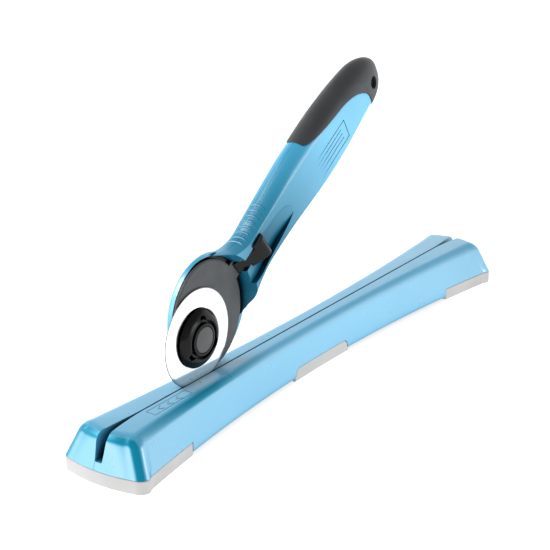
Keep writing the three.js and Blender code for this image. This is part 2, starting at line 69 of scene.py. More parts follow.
HEAD_R, HEAD_P, HEAD_Q, HEAD_LOW, HEAD_HIGH = 26.3, 14.2, 1.2, 2.2, 5.8
MOUTH_FRONT, MOUTH_BACK = 28.5, 26.5
RECESS_FLOOR, CHEEK = -3.2, -6.15
HANDLE_END, NOSE = 168.5, 17
HANG_P, HANG_Q, HANG_HOLE_R, GRIP_HOLE_R = 157.5, 8.5, 3.3, 3.1
ARM_SLOT_END, ARM_SLOT_HALF, ARM_HALF, SEAM = 55.5, 5.3, 4.6, 0.06
NUT_R = 13.5

BLADE_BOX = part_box("blade")
HUB = (BLADE_BOX[0] + BLADE_BOX[1]) / 2
CUTTER = Matrix.Translation(HUB) @ Matrix.Rotation(math.radians(-HANDLE_TILT), 4, "Y")


# ---------------------------------------------------------------- mesh tools
def mesh(name, verts, faces):
    data = bpy.data.meshes.new(name)
    data.from_pydata([(x * 0.001, y * 0.001, z * 0.001) for x, y, z in verts], [], faces)
    data.validate()
    obj = bpy.data.objects.new(name, data)
    bpy.context.scene.collection.objects.link(obj)
    return obj


def loft(name, rings):
    """A closed skin over rings of equal length."""
    n = len(rings[0])
    verts = [v for ring in rings for v in ring]
    faces = [list(range(n))[::-1], list(range(n * (len(rings) - 1), n * len(rings)))]
    for r in range(len(rings) - 1):
        for i in range(n):
            j = (i + 1) % n
            faces.append([r * n + i, r * n + j, (r + 1) * n + j, (r + 1) * n + i])
    return mesh(name, verts, faces)


def lathe(name, profile, steps, centre=(0, 0)):
    """A profile of (radius, y) turned about Y. It starts and ends on the axis or closes on itself."""
    closed = profile[0] == profile[-1]
    points = profile[:-1] if closed else profile
    verts, rows = [], []
    for r, y in points:
        if r == 0:
            rows.append([len(verts)] * steps)
            verts.append((centre[0], y, centre[1]))
            continue
        rows.append(list(range(len(verts), len(verts) + steps)))
        for i in range(steps):
            a = i / steps * math.tau
            verts.append((centre[0] + r * math.cos(a), y, centre[1] + r * math.sin(a)))
    faces = []
    pairs = list(zip(rows, rows[1:])) + ([(rows[-1], rows[0])] if closed else [])
    for low, high in pairs:
        for i in range(steps):
            j = (i + 1) % steps
            corners = [low[i], high[i], high[j], low[j]]
            faces.append(sorted(set(corners), key=corners.index))
    return mesh(name, verts, faces)


def across(name, points, y0, y1):
    """An outline in X and Z, running from y0 to y1."""
    return loft(name, [[(x, y0, z) for x, z in points], [(x, y1, z) for x, z in points]])


def raised(name, points, z0, z1):
    """An outline in X and Y, raised from z0 to z1."""
    return loft(name, [[(x, y, z0) for x, y in points], [(x, y, z1) for x, y in points]])


def block(name, x0, x1, y0, y1, z0, z1):
    return raised(name, [(x0, y0), (x1, y0), (x1, y1), (x0, y1)], z0, z1)


def bake(obj):
    """Applies the object's modifiers to its mesh."""
    graph = bpy.context.evaluated_depsgraph_get()
    fresh = bpy.data.meshes.new_from_object(obj.evaluated_get(graph))
    stale = obj.data
    obj.modifiers.clear()
    obj.data = fresh
    bpy.data.meshes.remove(stale)
    return obj


def drop(obj):
    data = obj.data
    bpy.data.objects.remove(obj)
    bpy.data.meshes.remove(data)


def outward(obj):
    """Turns a closed mesh so that its faces point out. A sealed hollow inside would be turned as well."""
    bm = bmesh.new()
    bm.from_mesh(obj.data)
    bmesh.ops.recalc_face_normals(bm, faces=bm.faces)
    bm.to_mesh(obj.data)
    bm.free()
    return obj


def combine(obj, tool, how, keep=False):
    outward(obj)
    outward(tool)
    step = obj.modifiers.new("combine", "BOOLEAN")
    step.operation = how
    step.object = tool
    step.solver = "MANIFOLD"
    bake(obj)
    if not keep:
        drop(tool)
    return obj


def cut(obj, tool, keep=False):
    return combine(obj, tool, "DIFFERENCE", keep)


def join(obj, tool, keep=False):
    return combine(obj, tool, "UNION", keep)


def common(obj, tool, keep=False):
    return combine(obj, tool, "INTERSECT", keep)


def copy(obj, name):
    twin = bpy.data.objects.new(name, obj.data.copy())
    bpy.context.scene.collection.objects.link(twin)
    return twin


def smooth(obj, angle=32, bevel=0.0, segments=2):
    """Smooth shading that keeps edges, with an optional rounding of the edges, in millimetres."""
    obj.data.shade_smooth()
    obj.data.set_sharp_from_angle(angle=math.radians(angle))
    if bevel:
        step = obj.modifiers.new("soft_edges", "BEVEL")
        step.width = bevel * 0.001
        step.segments = segments
        step.limit_method = "ANGLE"
        step.angle_limit = math.radians(angle)
        step.harden_normals = True
    return obj


def place(obj, name, body, mat, nodes, turned=False):
    """Names a finished piece, sets it in the cutter's tilt if it was made there, and hands it to its body."""
    if turned:
        obj.data.transform(CUTTER)
    obj.name = name
    obj.data.materials.clear()
    obj.data.materials.append(mat)
    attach(obj, body)
    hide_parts(*nodes)
    return obj


def curve_through(pairs):
    """Smooth curve through (position, value) pairs."""
    def value(x):
        last = len(pairs) - 1
        if x <= pairs[0][0]:
            return pairs[0][1]
        if x >= pairs[last][0]:
            return pairs[last][1]
        i = next(k for k, pair in enumerate(pairs) if pair[0] > x) - 1

        def slope(k):
            a, b = pairs[max(k - 1, 0)], pairs[min(k + 1, last)]
            return (b[1] - a[1]) / (b[0] - a[0])

        span = pairs[i + 1][0] - pairs[i][0]
        t = (x - pairs[i][0]) / span
        return ((2 * t**3 - 3 * t**2 + 1) * pairs[i][1] + (t**3 - 2 * t**2 + t) * span * slope(i)
                + (3 * t**2 - 2 * t**3) * pairs[i + 1][1] + (t**3 - t**2) * span * slope(i + 1))
    return value


# ---------------------------------------------------------------- materials
WHITE = (1.0, 1.0, 1.0)
# centre of the painted shade round the slider's recess, in the handle's own directions
RECESS_MIDDLE = (0.056, -0.005, -0.006)


class Nodes:
    """Short way to build a node tree."""

    def __init__(self, name):
        self.mat = bpy.data.materials.new(name)
        self.mat.use_nodes = True
        self.tree = self.mat.node_tree
        self.shader = self.tree.nodes["Principled BSDF"]
        self.where = self.add("ShaderNodeTexCoord").outputs["Object"]

    def add(self, kind, **settings):
        node = self.tree.nodes.new(kind)
        for key, value in settings.items():
            setattr(node, key, value)
        return node

    def link(self, a, b):
        self.tree.links.new(a, b)

    def noise(self, scale, detail=2.0, rough=0.5):
        node = self.add("ShaderNodeTexNoise")
        node.inputs["Scale"].default_value = scale
        node.inputs["Detail"].default_value = detail
        node.inputs["Roughness"].default_value = rough
        self.link(self.where, node.inputs["Vector"])
        return node.outputs["Fac"]

    def span(self, value, low, high, start=0.0, end=1.0):
        node = self.add("ShaderNodeMapRange")
        for key, number in (("From Min", start), ("From Max", end), ("To Min", low), ("To Max", high)):
            node.inputs[key].default_value = number
        self.link(value, node.inputs["Value"])
        return node.outputs["Result"]

    def mix(self, factor, a, b):
        node = self.add("ShaderNodeMix", data_type="RGBA")
        for key, value in ((6, a), (7, b)):
            if isinstance(value, tuple):
                node.inputs[key].default_value = (*value, 1)
            else:
                self.link(value, node.inputs[key])
        self.link(factor, node.inputs[0])
        return node.outputs[2]

    def bump(self, height, distance, strength=0.5, under=None):
        node = self.add("ShaderNodeBump")
        node.inputs["Strength"].default_value = strength
        node.inputs["Distance"].default_value = distance
        self.link(height, node.inputs["Height"])
        if under is not None:
            self.link(under, node.inputs["Normal"])
        return node.outputs["Normal"]

    def rounded(self, radius):
        node = self.add("ShaderNodeBevel", samples=6)
        node.inputs["Radius"].default_value = radius
        return node.outputs["Normal"]

    def crevice(self, reach, low, high):
        """Ambient-occlusion mask for painted shade: 1 in the open, 0 deep in gaps and recesses."""
        node = self.add("ShaderNodeAmbientOcclusion", samples=8)
        node.inputs["Distance"].default_value = reach
        return self.span(node.outputs["AO"], 0.0, 1.0, low, high)

    def away(self, point, squash, start, end, low, high):
        """low near a point, high far from it. squash scales the distances in X, Y and Z."""
        apart = self.add("ShaderNodeVectorMath", operation="SUBTRACT")
        apart.inputs[1].default_value = point
        self.link(self.where, apart.inputs[0])
        scaled = self.add("ShaderNodeVectorMath", operation="MULTIPLY")
        scaled.inputs[1].default_value = squash
        self.link(apart.outputs["Vector"], scaled.inputs[0])
        length = self.add("ShaderNodeVectorMath", operation="LENGTH")
        self.link(scaled.outputs["Vector"], length.inputs[0])
        return self.span(length.outputs["Value"], low, high, start, end)

    def both(self, a, b):
        node = self.add("ShaderNodeMath", operation="MULTIPLY")
        self.link(a, node.inputs[0])
        self.link(b, node.inputs[1])
        return node.outputs[0]

    def set(self, **values):
        for key, value in values.items():
            socket = self.shader.inputs[key.replace("_", " ")]
            if hasattr(value, "is_linked"):
                self.link(value, socket)
            elif isinstance(value, tuple) and len(value) == 3:
                socket.default_value = (*value, 1)
            else:
                socket.default_value = value
        return self.mat


def handle_blue():
    """Saturated blue plastic, with painted shade that darkens its colour and reflection round the slider's
    recess.
    """
    n = Nodes("pearl_blue")
    tone = n.mix(n.span(n.noise(30, 2), 0, 1, 0.3, 0.7), (0.026, 0.49, 0.82), (0.033, 0.52, 0.86))
    # painted shade: colour and reflection tint darken towards the slider's recess
    recess_shade_mask = n.away(CUTTER @ Vector(RECESS_MIDDLE), (1, 2.5, 1), 0.012, 0.064, 0.22, 1)
    tone = n.mix(recess_shade_mask, (0.0, 0.075, 0.125), tone)
    shine = n.mix(recess_shade_mask, (0.03, 0.12, 0.18), WHITE)
    return finish_blue(n, tone, shine, n.crevice(0.012, 0.40, 0.95))


def bar_blue():
    """The same plastic a little paler, with painted shade in colour and reflection on the rounded edges of
    the bar's near end.
    """
    n = Nodes("pearl_blue_bar")
    tone = n.mix(n.span(n.noise(30, 2), 0, 1, 0.3, 0.7), (0.095, 0.49, 0.77), (0.108, 0.515, 0.80))
    edge = painted_edge_shade(n)
    # painted shade and painted dark reflection on the rounded edges
    tone = n.mix(edge, tone, (0.0, 0.215, 0.36))
    shine = n.mix(edge, WHITE, (0.10, 0.55, 0.75))
    return finish_blue(n, tone, shine, n.crevice(0.006, 0.30, 0.90))


def finish_blue(n, tone, shine, open_air):
    """Paints shade into the crevices, in colour and in reflection, and gives the plastic its gloss."""
    # painted shade: colour and reflection tint darken in gaps and recesses
    tone = n.mix(open_air, (0.0, 0.012, 0.03), tone)
    shine = n.mix(open_air, (0.01, 0.03, 0.05), shine)
    normal = n.bump(n.noise(150, 1), 0.00002, 0.05)
    rough = n.span(n.noise(90, 2), 0.27, 0.33, 0.3, 0.7)
    return n.set(Base_Color=tone, Roughness=rough, Normal=normal, Specular_Tint=shine, IOR=2.45)


def painted_edge_shade(n):
    """Mask of the painted shade: up to 1 on the rounded shoulders and corners of the bar's near end, 0 on its
    flat faces.
    """
    split = n.add("ShaderNodeSeparateXYZ")
    n.link(n.add("ShaderNodeTexCoord").outputs["Normal"], split.inputs["Vector"])
    along = n.add("ShaderNodeMath", operation="ABSOLUTE")
    n.link(split.outputs["X"], along.inputs[0])
    up, on_bar = split.outputs["Z"], n.add("ShaderNodeSeparateXYZ")
    n.link(n.where, on_bar.inputs["Vector"])
    shoulder = n.both(n.span(up, 0, 1, 0.42, 0.60), n.span(up, 1, 0, 0.90, 0.985))
    shoulder = n.both(shoulder, n.span(on_bar.outputs["X"], 0.42, 1, -0.138, -0.104))
    corner = n.both(n.span(along.outputs[0], 0, 1, 0.17, 0.45), n.span(along.outputs[0], 1, 0, 0.82, 0.94))
    corner = n.both(corner, n.span(up, 1, 0, 0.80, 0.95))
    either = n.add("ShaderNodeMath", operation="MAXIMUM")
    n.link(shoulder, either.inputs[0])
    n.link(corner, either.inputs[1])
    # the painted shade fades out along the bar away from its near end
    return n.both(either.outputs[0], n.span(on_bar.outputs["X"], 1, 0.12, -0.085, -0.045))


def soft_rubber(name, dark, light, low, high, grain):
    """Rubber with a fine moulded grain and a little dust."""
    n = Nodes(name)
    tone = n.mix(n.span(n.noise(55, 4), 0, 1, 0.3, 0.7), dark, light)
    normal = n.bump(n.noise(grain, 2, 0.6), 0.00012, 0.35, n.rounded(0.0005))
    return n.set(Base_Color=tone, Roughness=n.span(n.noise(120, 3), low, high, 0.3, 0.7), Normal=normal,
                 Sheen_Weight=0.12, Sheen_Roughness=0.5)


def moulded(name, dark, light, low, high, grain, radius=0.0003, ior=1.45, level=0.5):
    """Moulded plastic with fine texture and painted shade in its crevices."""
    n = Nodes(name)
    tone = n.mix(n.span(n.noise(70, 4), 0, 1, 0.3, 0.7), dark, light)
    # painted shade: the colour darkens in crevices
    tone = n.mix(n.crevice(0.003, 0.2, 0.8), tuple(c * 0.3 for c in dark), tone)
    normal = n.bump(n.noise(grain, 2, 0.6), 0.00006, 0.25, n.rounded(radius))
    rough = n.span(n.noise(150, 3), low, high, 0.3, 0.7)
    return n.set(Base_Color=tone, Roughness=rough, Normal=normal, IOR=ior, Specular_IOR_Level=level)


def polished_steel():
    """Mirror-polished blade with faint radial grinding marks and a painted dark reflection along its edge."""
    n = Nodes("polished_blade")
    turn = n.add("ShaderNodeMapping")
    turn.inputs["Location"].default_value = (-HUB.x, -HUB.y, -HUB.z)
    n.link(n.where, turn.inputs["Vector"])
    split = n.add("ShaderNodeSeparateXYZ")
    n.link(turn.outputs["Vector"], split.inputs["Vector"])
    angle = n.add("ShaderNodeMath", operation="ARCTAN2")
    n.link(split.outputs["Z"], angle.inputs[0])
    n.link(split.outputs["X"], angle.inputs[1])
    spokes = n.add("ShaderNodeTexNoise", noise_dimensions="1D")
    spokes.inputs["Scale"].default_value = 60
    n.link(angle.outputs["Value"], spokes.inputs["W"])
    tone = n.mix(n.span(spokes.outputs["Fac"], 0, 1, 0.3, 0.7), (0.86, 0.87, 0.88), (0.93, 0.93, 0.94))
    # painted reflection: the outer edge of the blade is coloured dark
    tone = n.mix(n.away(HUB, (1, 0, 1), 0.02195, 0.02225, 0, 1), tone, (0.16, 0.17, 0.18))
    rough = n.span(n.noise(180, 3), 0.035, 0.085, 0.3, 0.7)
    normal = n.bump(spokes.outputs["Fac"], 0.00001, 0.02)
    return n.set(Base_Color=tone, Roughness=rough, Metallic=1.0, Normal=normal)


def satin_steel():
    n = Nodes("satin_steel")
    tone = n.mix(n.span(n.noise(200, 4), 0, 1, 0.3, 0.7), (0.45, 0.46, 0.48), (0.62, 0.63, 0.65))
    normal = n.bump(n.noise(900, 2), 0.00003, 0.2, n.rounded(0.0002))
    return n.set(Base_Color=tone, Roughness=n.span(n.noise(300, 3), 0.26, 0.42, 0.3, 0.7), Metallic=1.0,
                 Normal=normal)


def honing_stone():
    n = Nodes("honing_stone")
    tone = n.mix(n.span(n.noise(2500, 2), 0, 1, 0.35, 0.65), (0.34, 0.32, 0.28), (0.52, 0.50, 0.46))
    normal = n.bump(n.noise(4000, 2), 0.0001, 0.5)
    return n.set(Base_Color=tone, Roughness=n.span(n.noise(800, 2), 0.8, 0.95, 0.3, 0.7), Normal=normal)


BLUE = handle_blue()
BAR_BLUE = bar_blue()
FOOT = soft_rubber("foot_rubber", (0.53, 0.525, 0.52), (0.585, 0.58, 0.575), 0.55, 0.72, 1400)
GRIP = soft_rubber("grip_rubber", (0.026, 0.028, 0.032), (0.040, 0.043, 0.048), 0.42, 0.58, 1600)
GUARD = moulded("guard_plastic", (0.050, 0.055, 0.060), (0.061, 0.067, 0.072), 0.42, 0.55, 1100)
GLOSS = moulded("gloss_black", (0.0035, 0.0035, 0.004), (0.006, 0.006, 0.007), 0.18, 0.28, 500,
                radius=0.0004, ior=1.36, level=0.3)
KNOB = moulded("knob_black", (0.003, 0.003, 0.0035), (0.005, 0.005, 0.006), 0.14, 0.22, 500,
               ior=1.38, level=0.28)
CAP = moulded("cap_plastic", (0.058, 0.061, 0.064), (0.073, 0.076, 0.079), 0.30, 0.42, 900)
HIDDEN = moulded("hidden_plastic", (0.03, 0.032, 0.036), (0.05, 0.052, 0.056), 0.5, 0.65, 700)
BLADE = polished_steel()
STEEL = satin_steel()
STONE = honing_stone()


# ---------------------------------------------------------------- bar
def bar_width(x, up):
    """Half width at x. up runs from 0 at the feet to 1 at the top."""
    far = (x / BAR_HALF) ** 2
    low = LOW_WAIST + LOW_FLARE * far
    top = TOP_WAIST + TOP_FLARE * far
    return low + (top - low) * up


def bar_outline(half, up, inset, corner, sides=60, arc=9, bows=7, end_inset=None):
    """Plan outline: long waisted sides, bowed ends and round corners."""
    end_inset = inset if end_inset is None else end_inset
    r = max(corner - inset, 0.8)
    straight = half - end_inset
    end_y = bar_width(straight, up) - inset - r
    quarter = []
    for i in range(bows):
        y = end_y * i / bows
        quarter.append((straight + END_BULGE * (1 - (y / end_y) ** 2), y))
    for i in range(arc + 1):
        a = math.radians(90 * i / arc)
        quarter.append((straight - r + r * math.cos(a), end_y + r * math.sin(a)))
    for i in range(1, sides + 1):
        x = (straight - r) * (1 - i / sides)
        quarter.append((x, bar_width(x, up) - inset))
    upper = quarter + [(-x, y) for x, y in quarter[-2::-1]]
    return upper + [(x, -y) for x, y in upper[-2:0:-1]]


def bar_body(name, inset, z0):
    """The whole bar as one body, grown or shrunk by inset."""
    crown = BAR_TOP - inset

    def ring(z, side, end):
        up = max(0, (z - FOOT_TOP) / (BAR_TOP - FOOT_TOP))
        points = bar_outline(BAR_HALF - END_LEAN * up, up, inset + side, CORNER, end_inset=inset + end)
        return [(x, y, z) for x, y in points]

    rings = [ring(z, 0, 0) for z in (z0, FOOT_TOP, 9, 12, 15)]
    for i in range(13):
        a = math.radians(90 * i / 12)
        ease = 1 - math.cos(a)
        z = crown - SHOULDER + SHOULDER * math.sin(a)
        rings.append(ring(z, SHOULDER * ease, (SHOULDER + 0.6) * ease))
    return loft(name, rings)


def slot_half(x):
    """Half width of the slot, which opens into a funnel at both ends."""
    over = max(0, (abs(x) - FUNNEL_START) / (150 - FUNNEL_START))
    return SLOT_HALF + (FUNNEL_HALF - SLOT_HALF) * over**1.6


FUNNEL_X = [-156] + [-152 + i for i in range(30)]
SLOT_X = FUNNEL_X + [0] + [-x for x in FUNNEL_X[::-1]]
LOW_SHARE = 0.58


def slot_cut():
    """The slot with a rounded floor, walls that draw together downwards and broken upper edges."""
    rings = []
    for z, scale in ((SLOT_FLOOR, 0.42), (SLOT_FLOOR + 0.25, 0.52), (SLOT_FLOOR + 0.8, LOW_SHARE),
                     (BAR_TOP - 0.5, 0.985), (BAR_TOP - 0.18, 1.02), (BAR_TOP + 0.1, 1.12),
                     (BAR_TOP + 4, 1.12)):
        low = [(x, -slot_half(x) * scale, z) for x in SLOT_X]
        rings.append(low + [(x, -y, z) for x, y, z in low[::-1]])
    return loft("slot", rings)


def far_side(shift):
    """Everything behind the seam between the half shells."""
    line = [(x, slot_half(x) * LOW_SHARE + shift) for x in SLOT_X]
    return raised("far_side", line + [(156, 40), (-156, 40)], -1, 30)


def foot_space(kind, grow):
    """The room that a foot takes up along the bar."""
    if kind == "foot_middle":
        top = MID_FOOT_HALF + grow
        low = top + MID_FOOT_SPREAD
        r = 1.6
        high = FOOT_TOP + grow
        right = [(low, -1), (top + 0.3, high - r), (top - r * 0.4, high - r * 0.35), (top - r, high)]
        points = [(-low, -1)] + right + [(-x, z) for x, z in right[:0:-1]]
        return across("space", points, -30, 30)
    x0, x1 = END_FOOT_START - grow, 160
    if kind == "foot_near":
        x0, x1 = -x1, -x0
    return block("space", x0, x1, -30, 30, -1, FOOT_TOP + grow)


FEET = ("foot_near", "foot_middle", "foot_far")


def make_feet():
    """Three hollow rubber shoes, cut from the same form as the bar."""
    for kind in FEET:
        obj = bar_body(kind, 0, 0)
        common(obj, foot_space(kind, 0))
        hollow = bar_body("hollow", FOOT_WALL, -2)
        common(hollow, block("above", -160, 160, -30, 30, FOOT_FLOOR, 30))
        cut(obj, hollow)
        smooth(obj, 35, 0.45, 3)
        place(obj, f"{kind}_rubber", "bar", FOOT, [kind])


def groove(points, width, z0, z1, closed=True):
    """A thin line cut along a path in X and Y."""
    path = points + [points[0]] if closed else points
    made = None
    for (ax, ay), (bx, by) in zip(path, path[1:]):
        length = math.hypot(bx - ax, by - ay)
        ux, uy = (bx - ax) / length, (by - ay) / length
        nx, ny = -uy * width / 2, ux * width / 2
        ax, ay, bx, by = ax - ux * width / 2, ay - uy * width / 2, bx + ux * width / 2, by + uy * width / 2
        corners = [(ax - nx, ay - ny), (bx - nx, by - ny), (bx + nx, by + ny), (ax + nx, ay + ny)]
        piece = raised("line", corners, z0, z1)
        made = join(made, piece) if made else piece
    return made


def cavity():
    """The hollow of the bar above the closing plate."""
    rings = []
    for z, up in ((PLATE_SPACE - 0.3, 0), (12.5, 0.39), (BAR_TOP - ROOF, 1)):
        rings.append([(x, y, z) for x, y in bar_outline(CAVITY_HALF, up, WALL, 3, end_inset=0)])
    return loft("cavity", rings)


def screw_hole(i):
    """Hole over one of the four screws of the closing plate."""
    low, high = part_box(f"plate_screw_{i}")
    x, y = (low.x + high.x) * 500, (low.y + high.y) * 500
    turn = [i * math.tau / 24 for i in range(24)]
    edge = [(x + SCREW_HOLE_R * math.cos(a), y + SCREW_HOLE_R * math.sin(a)) for a in turn]
    return raised("screw_hole", edge, 0, 17)


def stroke_mark():
    """Plain engraved frame with three chevrons that show the direction of the stroke."""
    z0, z1 = BAR_TOP - MARK_DEPTH, BAR_TOP + 1
    mark = groove([(-124, -7.6), (-98, -6.6), (-98, -2.4), (-124, -2.4)], 0.32, z0, z1)
    for x in (-119, -113, -107):
        join(mark, groove([(x + 2.6, -3.6), (x, -5), (x + 2.6, -6.4)], 0.45, z0, z1, False))
    return mark


def make_half_shells():
    """The pocket for the closing plate is cut before the hollow, so that the hollow is never sealed."""
    shell = bar_body("shell", 0, BAR_UNDER)
    pocket = bar_body("pocket", FOOT_WALL + GAP + WALL, -2)
    cut(shell, common(pocket, block("low", -146, 146, -30, 30, -3, PLATE_SPACE)))
    cut(shell, cavity())
    around = cut(bar_body("around", -2, -2), bar_body("inner", FOOT_WALL + GAP, -4))
    for kind in FEET:
        cut(shell, common(foot_space(kind, GAP * 0.6), around, keep=True))
        floor = block("floor", -170, 170, -30, 30, -5, FOOT_FLOOR + GAP)
        cut(shell, common(foot_space(kind, GAP * 0.6), floor))
    drop(around)
    for i in range(1, 5):
        cut(shell, screw_hole(i))
    cut(shell, slot_cut())
    cut(shell, stroke_mark())
    left = common(copy(shell, "left"), far_side(0.08))
    right = cut(shell, far_side(-0.08))
    place(smooth(left), "shell_left_skin", "bar", BAR_BLUE, ["bar_shell_left"])
    place(smooth(right), "shell_right_skin", "bar", BAR_BLUE, ["bar_shell_right"])


# ---------------------------------------------------------------- cutter
handle_top = curve_through([
    (20, 24), (30, 21.4), (38, 17.2), (46, 15.4), (56, 17), (68, 18.9), (79, 20.7), (90, 22.2), (104, 22.9),
    (116, 23.4), (126, 23.6), (136, 23.4), (146, 22.6), (154, 21.6), (162, 20.4), (168.5, 19.4)])
handle_low = curve_through([
    (20, -14), (28, -13.8), (34, -12.6), (42, -9.4), (50, -7.1), (56, -6.3), (68, -5.4), (80, -5.2),
    (92, -5.4), (104, -5.4), (115, -4.9), (125, -3.8), (135, -2.2), (145, -0.6), (155, 0.4), (168.5, 1)])
handle_half = curve_through([(20, 5.6), (46, 5.8), (68, 6.4), (90, 6.9), (115, 7.3), (140, 7.5), (168.5, 7)])
handle_fall = curve_through([(20, 8), (30, 6.5), (36, 4.6), (42, 2.4), (50, 0)])
handle_dome = curve_through([
    (30, 1.6), (46, 1.8), (56, 2.8), (68, 4), (90, 6.4), (115, 6.9), (136, 9), (155, 10)])
recess_top = curve_through([
    (22, 9.6), (39, 10), (50, 10.9), (61, 11.4), (68, 11.2), (73, 9.8), (76, 7), (77.5, 4)])
recess_low = curve_through([
    (22, 2), (30, -3.5), (36, -5), (39.4, -5.6), (45, -5.4), (50, -4.1), (62, -1.6), (72, 0.8), (77.5, 3)])


def handle_form(p, inset):
    """Half width, middle, half height, dome height and lower edge radius of the handle at p."""
    nose = max(0, (p - (HANDLE_END - NOSE - inset)) / NOSE)
    fade = math.sqrt(max(0.004, 1 - nose**2))
    top, low = handle_top(p) - inset, handle_low(p) + inset
    half = (handle_half(p) - inset) * fade
    high = (top - low) / 2 * fade
    rise = handle_dome(p) * fade
    room = min(1, 1.9 * high / (rise + 2.4 * fade), half / (2.5 * fade))
    return half, (top + low) / 2, high, rise * room, 2.4 * fade * room


def handle_ring(p, inset):
    half, mid, high, dome, edge = handle_form(p, inset)
    points = []
    for i in range(37):
        a = math.radians(180 * i / 36)
        points.append((half * math.cos(a), mid + high - dome + dome * math.sin(a)))
    for i in range(8):
        a = math.radians(180 + 90 * i / 7)
        points.append((-half + edge + edge * math.cos(a), mid - high + edge + edge * math.sin(a)))
    for i in range(8):
        a = math.radians(270 + 90 * i / 7)
        points.append((half - edge + edge * math.cos(a), mid - high + edge + edge * math.sin(a)))
    fall = handle_fall(p)
    return [(p, y, z - fall * (y + half) / (2 * half) * max(0, mid - z) / high) for y, z in points[:-1]]


def handle_loft(name, p0, p1, inset):
    stations = []
    p = p0
    while p < p1 - 19:
        stations.append(p)
        p += 2.5
    for i in range(29):
        a = math.radians(90 * i / 28)
        stations.append(p1 - 18 + 18 * math.sin(a))
    return loft(name, [handle_ring(p, inset) for p in stations])


def grip_space(gap):
    """Everything behind the curved front edge of the grip."""
    edge = [(99.5, 40), (99.5, 22), (100.6, 20.9), (105, 19.8), (112, 18.9), (121, 18.1), (130, 17.5),
            (136, 16.4), (141, 14.7), (145.5, 12.2), (149.5, 8.6), (151, 4.5), (151.4, -12)]
    line = curve_through([(-z, x) for x, z in edge])
    steps = [edge[0]] + [(line(-z), z) for z in [22 - 34 * i / 60 for i in range(61)]]
    return across("grip_space", [(x + gap, z + gap) for x, z in steps] + [(200, -12), (200, 40)], -20, 20)


def on_slide(distance, offset=0.0):
    """The point at a distance along the guard's slide and an offset across it."""
    c, s = math.cos(math.radians(GUARD_TILT)), math.sin(math.radians(GUARD_TILT))
    return distance * c - offset * s, distance * s + offset * c


def strip(start, end, half, y0, y1):
    """A straight bar in the direction in which the guard slides."""
    corners = [on_slide(start, -half), on_slide(end, -half), on_slide(end, half), on_slide(start, half)]
    return across("strip", corners, y0, y1)


def disc(centre, r, y0, y1, steps=128):
    """A round plug across the handle."""
    return lathe("disc", [(0, y0), (r, y0), (r, y1), (0, y1)], steps, centre)


def thumb_rib(p):
    """A slim ridge across the back, bowed towards the blade."""
    rings = []
    for i in range(33):
        y = -4.5 + 9 * i / 32
        at = p - 0.06 * y * y
        half, mid, high, dome, _ = handle_form(at, 0)
        z = mid + high - dome + dome * math.sqrt(max(0, 1 - (y / half) ** 2))
        size = 0.62 * math.sqrt(max(0.02, 1 - (y / 4.6) ** 4))
        rings.append([(at + size * math.cos(a), y, z - 0.12 + 0.75 * size * math.sin(a))
                      for a in [k / 10 * math.tau for k in range(10)]])
    return loft("rib", rings)


def recess():
    """The slider's recess in the near cheek and the slot for its neck."""
    rings = []
    for i in range(112):
        p = 22 + i * 0.5
        rise = max(0, (p - 54) / 23)
        floor = RECESS_FLOOR - 3.6 * rise**2
        low, top = recess_low(p), recess_top(p)
        rings.append([(p, -20, low), (p, floor, low), (p, floor, top), (p, -20, top)])
    return join(loft("recess", rings), strip(24, 55, 3.9, -20, 0.5))


def cheek_mark():
    """Plain engraved frame with three grooves on the near cheek."""
    made = None
    for points, closed in (([(92, -1), (128, 1.5), (128, 11.5), (92, 9.5)], True),
                           ([(96, 2.2), (124, 4.2)], False), ([(96, 4.6), (124, 6.6)], False),
                           ([(96, 7.0), (124, 9.0)], False)):
        line = groove(points, 0.4, 0, 4, closed)
        made = join(made, line) if made else line
    made.data.transform(Matrix(((1, 0, 0, 0), (0, 0, 1, 0), (0, 1, 0, 0), (0, 0, 0, 1))))
    half = handle_half(110)
    made.data.transform(Matrix.Translation((0, -(half + 3.85) * 0.001, 0)))
    return made


def nose_plate():
    """Round plate behind the blade, with a rounded rim."""
    r = 2
    profile = [(0, HEAD_LOW), (HEAD_R, HEAD_LOW)]
    for i in range(9):
        a = math.radians(90 * i / 8)
        profile.append((HEAD_R - r + r * math.cos(a), HEAD_HIGH - r + r * math.sin(a)))
    return lathe("plate", profile + [(0, HEAD_HIGH)], 144, (HEAD_P, HEAD_Q))


def head_shade_sheet(body):
    """Thin black sheet in the head behind the guard, a painted shadow for the dark gap round the guard."""
    shade_sheet = join(copy(body, "shade_sheet"), nose_plate())
    common(shade_sheet, block("half", -60, 200, HEAD_LOW - 0.14, HEAD_LOW + 0.1, -60, 60))
    ring = lathe("ring", [(21, 0), (MOUTH_BACK - 0.05, 0), (MOUTH_BACK - 0.05, 4), (21, 4), (21, 0)], 160,
                 on_slide(GUARD_TRAVEL))
    common(shade_sheet, ring)
    return cut(shade_sheet, strip(20, 60, 5.4, -5, 5))


